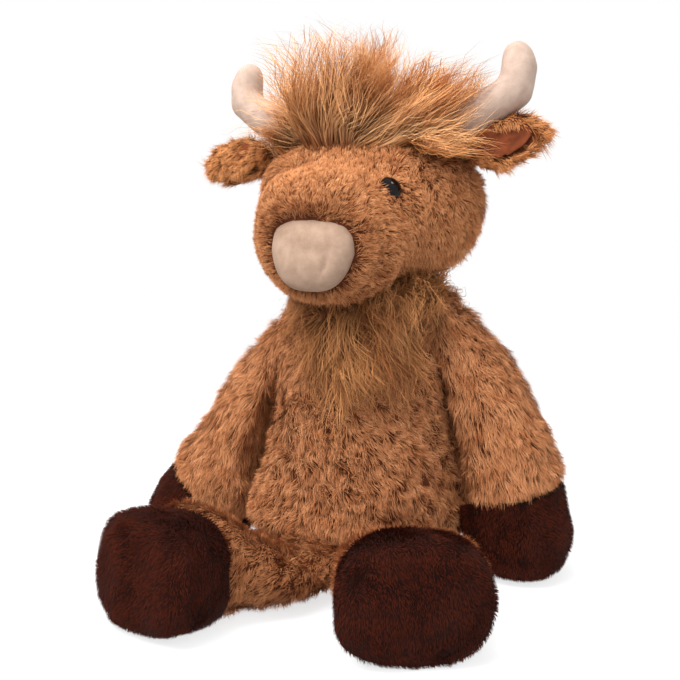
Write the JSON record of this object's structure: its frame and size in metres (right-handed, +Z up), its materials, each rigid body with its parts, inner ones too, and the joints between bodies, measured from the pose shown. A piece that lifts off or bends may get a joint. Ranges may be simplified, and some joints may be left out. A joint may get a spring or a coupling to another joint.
{
  "type": "plush cow",
  "caption": "Sitting plush highland cow with shaggy tan pile, dark hooves, beige nose and horns, long forelock and chest ruff; head, limbs, ears and tail swing at their seams.",
  "frame": {"origin": "middle of the foot of the whole toy's box, on the surface that it sits on", "axes": "+Z up, the toy's chest faces -Y, its left side is +X"},
  "size_m": [0.319, 0.28, 0.371],
  "materials": {
    "tan_plush": "long shaggy pile",
    "long_hair": "long silky mohair",
    "dark_plush": "short dense pile",
    "beige_velour": "short velour",
    "rust_velour": "smooth velour",
    "stuffing": "fibre stuffing",
    "pellet_cloth": "woven cloth bag of pellets",
    "glossy_eye": "polished black",
    "washer_plastic": "moulded"
  },
  "bodies": {
    "torso": {"torso_skin": "tan_plush", "torso_stuffing": "stuffing", "pellet_bag": "pellet_cloth", "chest_ruff": "long_hair"},
    "tail": {"tail_rope": "tan_plush", "tail_tuft": "long_hair"},
    "head": {"head_skin": "tan_plush", "head_stuffing": "stuffing", "nose_pad": "beige_velour", "forelock": "long_hair", "horn_l": "beige_velour", "eye_l": "glossy_eye", "eye_washer_l": "washer_plastic", "horn_r": "beige_velour", "eye_r": "glossy_eye", "eye_washer_r": "washer_plastic"},
    "left_ear": {"ear_l": "tan_plush", "ear_lining_l": "rust_velour"},
    "left_arm": {"arm_sleeve_l": "tan_plush", "arm_stuffing_l": "stuffing", "hand_hoof_l": "dark_plush"},
    "left_leg": {"leg_sleeve_l": "tan_plush", "leg_stuffing_l": "stuffing", "foot_hoof_l": "dark_plush"},
    "right_ear": {"ear_r": "tan_plush", "ear_lining_r": "rust_velour"},
    "right_arm": {"arm_sleeve_r": "tan_plush", "arm_stuffing_r": "stuffing", "hand_hoof_r": "dark_plush"},
    "right_leg": {"leg_sleeve_r": "tan_plush", "leg_stuffing_r": "stuffing", "foot_hoof_r": "dark_plush"}
  },
  "joints": [
    {"name": "neck", "type": "hinge", "parent": "torso", "child": "head", "pos_m": [0.00504, 0.05364, 0.218], "axis": [0, 0, 1], "range_deg": [-24, 46]},
    {"name": "tail_swing", "type": "hinge", "parent": "torso", "child": "tail", "pos_m": [0.00504, 0.11264, 0.074], "axis": [0, 1, 0], "range_deg": [-35, 35]},
    {"name": "shoulder_l", "type": "hinge", "parent": "torso", "child": "left_arm", "pos_m": [0.06704, 0.05564, 0.169], "axis": [-0.9272, -0.3746, 0], "range_deg": [-20, 90]},
    {"name": "hip_l", "type": "hinge", "parent": "torso", "child": "left_leg", "pos_m": [0.03704, 0.00764, 0.0295], "axis": [1, 0, 0], "range_deg": [-30, 60]},
    {"name": "ear_flap_l", "type": "hinge", "parent": "head", "child": "left_ear", "pos_m": [0.07293, 0.04655, 0.294], "axis": [-0.0653, -0.3357, -0.9397], "range_deg": [-20, 20]},
    {"name": "shoulder_r", "type": "hinge", "parent": "torso", "child": "right_arm", "pos_m": [-0.05096, 0.05564, 0.152], "axis": [-0.9272, 0.3746, 0], "range_deg": [-20, 90]},
    {"name": "hip_r", "type": "hinge", "parent": "torso", "child": "right_leg", "pos_m": [-0.02696, 0.00764, 0.0295], "axis": [1, 0, 0], "range_deg": [-30, 60]},
    {"name": "ear_flap_r", "type": "hinge", "parent": "head", "child": "right_ear", "pos_m": [-0.06057, 0.0725, 0.294], "axis": [0.0653, 0.3357, 0.9397], "range_deg": [-20, 20]}
  ]
}
